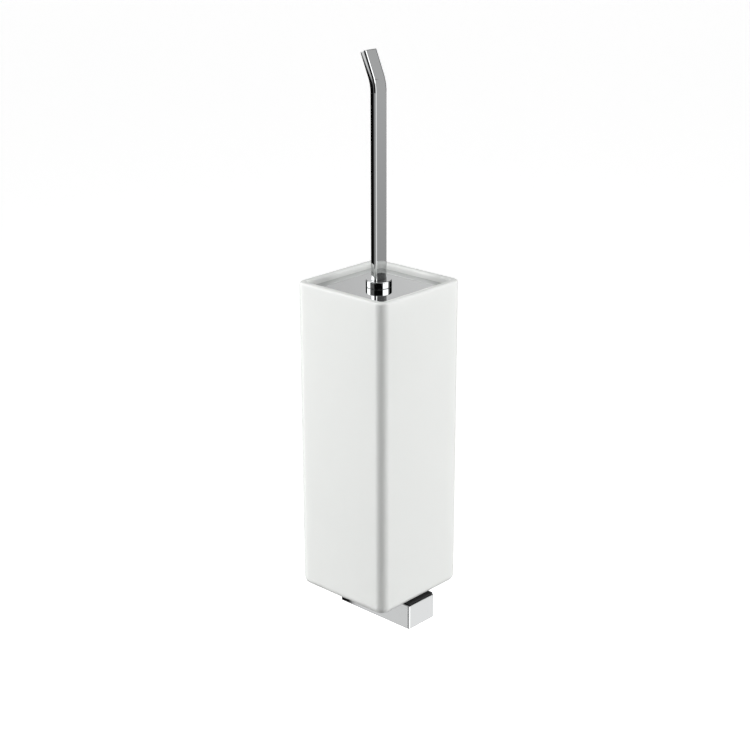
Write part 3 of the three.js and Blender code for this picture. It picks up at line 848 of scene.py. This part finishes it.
def side_bristles():
    """Rows of tufts all round the core, each a bundle of filaments that fan out to a trimmed end."""
    draw = random.Random(11)
    vertices, faces = [], []
    middle = (side_low.z + side_high.z) / 2
    half_height = (side_high.z - side_low.z) / 2
    for row, z in enumerate(tuft_rows()):
        lean = (z - middle) / half_height
        for tuft in range(TUFTS_IN_ROW):
            facing = 2 * math.pi * (tuft + 0.5 * (row % 2)) / TUFTS_IN_ROW
            for _ in range(FIBRES_IN_TUFT):
                angle, spot = draw.uniform(0, 2 * math.pi), TUFT_RADIUS * math.sqrt(draw.random())
                out = facing + draw.gauss(0, TUFT_FAN)
                root_angle = facing + spot * math.cos(angle) / CORE_RADIUS
                root_z = z + spot * math.sin(angle)
                tip_z = z + lean * TUFT_LEAN + draw.gauss(0, TIP_SPREAD) * MM
                tip_z = min(max(tip_z, side_low.z + TIP_MARGIN), side_high.z - TIP_MARGIN)
                reach = side_reach(tip_z) - abs(draw.gauss(0, TRIM_SPREAD)) * MM
                root = off_axis(CORE_RADIUS - FIBRE_ROOT, root_angle, root_z)
                tip = off_axis(reach, out, tip_z)
                sag = Vector([draw.gauss(0, SAG_SPREAD) * MM for _ in range(3)])
                add_fibre(vertices, faces, root, tip, sag)
    make("side_tufts", (vertices, faces), FIBRE, "brush", ["brush_bristles"])


def end_bristles():
    """A round bed of tufts on the core's end, that fan out downwards."""
    draw = random.Random(23)
    vertices, faces = [], []
    half = (end_high.x - end_low.x) / 2
    length = core_low.z - end_low.z
    places = [(0, 0)]
    for distance, count, first in END_RINGS:
        places += [(distance, first + 360 // count * i) for i in range(count)]
    for distance, degrees in places:
        facing = math.radians(degrees)
        for _ in range(END_FIBRES_IN_TUFT):
            angle, spot = draw.uniform(0, 2 * math.pi), END_TUFT_RADIUS * math.sqrt(draw.random())
            x = distance * math.cos(facing) + spot * math.cos(angle)
            y = distance * math.sin(facing) + spot * math.sin(angle)
            fan = 1 + (half / END_BED_RADIUS - 1) * draw.uniform(LEAST_FAN, 1)
            rim = math.hypot(x, y) * fan / half
            rise = END_DOME * length * rim ** 2 + abs(draw.gauss(0, END_TRIM_SPREAD)) * MM
            root = Vector((AXIS_X + x, AXIS_Y + y, core_low.z + FIBRE_ROOT))
            tip = Vector((AXIS_X + x * fan, AXIS_Y + y * fan, end_low.z + rise))
            sag = Vector((END_SAG * (tip.x - root.x), END_SAG * (tip.y - root.y), -END_DROOP * rim))
            add_fibre(vertices, faces, root, tip, sag)
    make("end_tufts", (vertices, faces), FIBRE, "brush", ["brush_end_bristles"])


lid_seal()
lid_washer()
lid_nut()
stem()
core()
side_bristles()
end_bristles()

# ---- Camera ----

VIEW_AZIMUTH = math.radians(42.9)  # of the camera from the container, from +X towards +Y
VIEW_ELEVATION = math.radians(19.72)
VIEW_ROLL = math.radians(-0.146)
VIEW_LENS = 75.85
VIEW_PLACE = (0.84965, 0.73933, 0.60462)
camera_data = bpy.data.cameras.new("camera")
camera_data.lens = VIEW_LENS
camera_data.sensor_width = 36
camera = bpy.data.objects.new("camera", camera_data)
bpy.context.scene.collection.objects.link(camera)
back = Vector((
    math.cos(VIEW_ELEVATION) * math.cos(VIEW_AZIMUTH),
    math.cos(VIEW_ELEVATION) * math.sin(VIEW_AZIMUTH),
    math.sin(VIEW_ELEVATION),
))
camera.location = VIEW_PLACE
turn = back.to_track_quat("Z", "Y").to_matrix() @ Matrix.Rotation(VIEW_ROLL, 3, "Z")
camera.matrix_world = Matrix.Translation(camera.location) @ turn.to_4x4()
bpy.context.scene.camera = camera

# ---- Studio ----

CARD_BLUR = 0.6  # width of a card's soft edge, in degrees
AMBIENT = 0.215
BACKDROP = 1.0
LIGHT_AIM = 0.14  # height that the lights point at
FLOOR_SIZE = 12.0
FLOOR_DROP = 0.45
FLOOR_GLOW = 0.85


def maths(nodes, links, operation, *values):
    node = nodes.new("ShaderNodeMath")
    node.operation = operation
    for socket, value in zip(node.inputs, values):
        if isinstance(value, (int, float)):
            socket.default_value = value
        else:
            links.new(value, socket)
    return node.outputs[0]


def inside(nodes, links, angle, low, high, blur):
    """1 where the angle is between low and high, with a soft edge; angles in degrees."""
    middle, half = (low + high) / 2, (high - low) / 2
    away = maths(nodes, links, "SUBTRACT", angle, math.radians(middle))
    away = maths(nodes, links, "WRAP", away, math.pi, -math.pi)
    away = maths(nodes, links, "ABSOLUTE", away)
    edge = nodes.new("ShaderNodeMapRange")
    edge.interpolation_type = "SMOOTHSTEP"
    edge.inputs["From Min"].default_value = math.radians(half - blur / 2)
    edge.inputs["From Max"].default_value = math.radians(half + blur / 2)
    edge.inputs["To Min"].default_value = 1
    edge.inputs["To Max"].default_value = 0
    links.new(away, edge.inputs["Value"])
    return edge.outputs["Result"]


def blended(nodes, links, weight, first, second):
    node = nodes.new("ShaderNodeMix")
    for socket, value in ((0, weight), (2, first), (3, second)):
        if isinstance(value, (int, float)):
            node.inputs[socket].default_value = value
        else:
            links.new(value, node.inputs[socket])
    return node.outputs[0]


def gradient(nodes, links, angle, start, end, first, last):
    """A brightness that goes from first to last between two angles in degrees."""
    ranged = nodes.new("ShaderNodeMapRange")
    ranged.inputs["From Min"].default_value = math.radians(start)
    ranged.inputs["From Max"].default_value = math.radians(end)
    ranged.inputs["To Min"].default_value = first
    ranged.inputs["To Max"].default_value = last
    links.new(angle, ranged.inputs["Value"])
    return ranged.outputs["Result"]


def reflections(nodes, links, angle, height):
    """What the chrome reflects: cards and softboxes round the object, placed by the angle from the
    photographer's side, positive to the photographer's right, and by height, both in degrees. A
    later card covers the earlier ones."""

    def card(behind, across, up, brightness, blur=CARD_BLUR):
        weight = maths(
            nodes, links, "MULTIPLY",
            inside(nodes, links, angle, *across, blur), inside(nodes, links, height, *up, blur),
        )
        return blended(nodes, links, weight, behind, brightness)

    side_wall = gradient(nodes, links, height, -16.5, -9.5, 0.42, 0.58)
    behind = maths(nodes, links, "SUBTRACT", angle, math.pi)
    behind = maths(nodes, links, "WRAP", behind, math.pi, -math.pi)
    backdrop = gradient(nodes, links, behind, -2.5, 2.5, 0.8, 0.64)

    dark_room = 0.004
    level = card(dark_room, (-180, 180), (60, 120), 0.35)  # ceiling
    level = card(level, (-180, 180), (74, 106), 0.95)  # lamp overhead
    level = card(level, (150, 268), (-90, -26), 0.3)  # floor behind
    level = card(level, (168, 192), (-8, 60), backdrop)  # seen in the lid
    level = card(level, (91, 95.5), (14, 30), 0.14)  # dark flag
    level = card(level, (36, 91), (12, 55), 2.6)  # right softbox
    level = card(level, (36, 91), (-26, 12), 1.25)  # under the right softbox
    level = card(level, (-124, -82), (12, 55), 3.0)  # left softbox
    level = card(level, (-100, -82), (-8.7, 12), 1.0)  # under the left softbox
    level = card(level, (-82, -42), (-27, 30), 0.2)  # grey wall, left
    level = card(level, (-42, 36), (-22, -9), 0.42)  # table in front
    level = card(level, (-42, 10), (-70, -22), 0.1)  # dark floor in front
    level = card(level, (95.2, 103), (-9, 40), side_wall)  # these three make one wall, right
    level = card(level, (91, 96), (-24, 14), side_wall)
    level = card(level, (95.4, 150), (-24, -9), side_wall)
    level = card(level, (-86.87, -42), (-75, -27), 0.93, 0.1)  # table, left
    level = card(level, (10, 91), (-75, -24), 2.6)  # bright table, near right
    level = card(level, (91, 150), (-75, -24), 1.2)  # table, far right
    return level


def studio_world():
    """The world's light by kind of ray: cards for the chrome, one even level for matt surfaces,
    and a white backdrop for the camera."""
    world = bpy.data.worlds.new("studio")
    bpy.context.scene.world = world
    world.use_nodes = True
    nodes, links = world.node_tree.nodes, world.node_tree.links
    nodes.clear()
    split = nodes.new("ShaderNodeSeparateXYZ")
    links.new(nodes.new("ShaderNodeTexCoord").outputs["Generated"], split.inputs[0])
    angle = maths(nodes, links, "ARCTAN2", split.outputs["Y"], split.outputs["X"])
    angle = maths(nodes, links, "SUBTRACT", angle, VIEW_AZIMUTH)
    height = maths(nodes, links, "ARCSINE", split.outputs["Z"])

    level = reflections(nodes, links, angle, height)
    rays = nodes.new("ShaderNodeLightPath")
    level = blended(nodes, links, rays.outputs["Is Glossy Ray"], AMBIENT, level)
    level = blended(nodes, links, rays.outputs["Is Camera Ray"], level, BACKDROP)
    background = nodes.new("ShaderNodeBackground")
    output = nodes.new("ShaderNodeOutputWorld")
    links.new(level, background.inputs["Color"])
    links.new(background.outputs[0], output.inputs[0])


def panel(name, side, elevation, distance, size, power):
    """A soft light at an angle from the photographer's side, that lights matt surfaces only."""
    data = bpy.data.lights.new(name, "AREA")
    data.shape = "RECTANGLE"
    data.size, data.size_y = size
    data.energy = power
    light = bpy.data.objects.new(name, data)
    bpy.context.scene.collection.objects.link(light)
    azimuth = VIEW_AZIMUTH + math.radians(side)
    rise = math.radians(elevation)
    across = math.cos(rise)
    away = Vector((across * math.cos(azimuth), across * math.sin(azimuth), math.sin(rise)))
    aim = Vector((AXIS_X, AXIS_Y, LIGHT_AIM))
    light.location = aim + away * distance
    light.rotation_euler = away.to_track_quat("Z", "Y").to_euler()
    light.visible_glossy = False
    light.visible_camera = False


def floor():
    size, drop = FLOOR_SIZE, FLOOR_DROP
    mesh = bpy.data.meshes.new("floor")
    mesh.from_pydata(
        [(-size, -size, -drop), (size, -size, -drop), (size, size, -drop), (-size, size, -drop)],
        [], [(0, 1, 2, 3)],
    )
    plane = bpy.data.objects.new("floor", mesh)
    bpy.context.scene.collection.objects.link(plane)
    material, _, _, shader = principled("floor", (0.5, 0.5, 0.5), 0.0, 0.9)
    shader.inputs["Emission Color"].default_value = (1, 1, 1, 1)
    shader.inputs["Emission Strength"].default_value = FLOOR_GLOW
    mesh.materials.append(material)
    plane.visible_glossy = False
    plane.visible_diffuse = False


studio_world()
floor()
panel("left_light", -90, 12, 1.5, (1.0, 1.6), 30.5)
panel("right_light", 82, 12, 1.5, (1.0, 1.6), 23.3)
panel("top_light", 0, 88, 1.6, (2.0, 2.0), 8)

view = bpy.context.scene.view_settings
view.view_transform = "Standard"
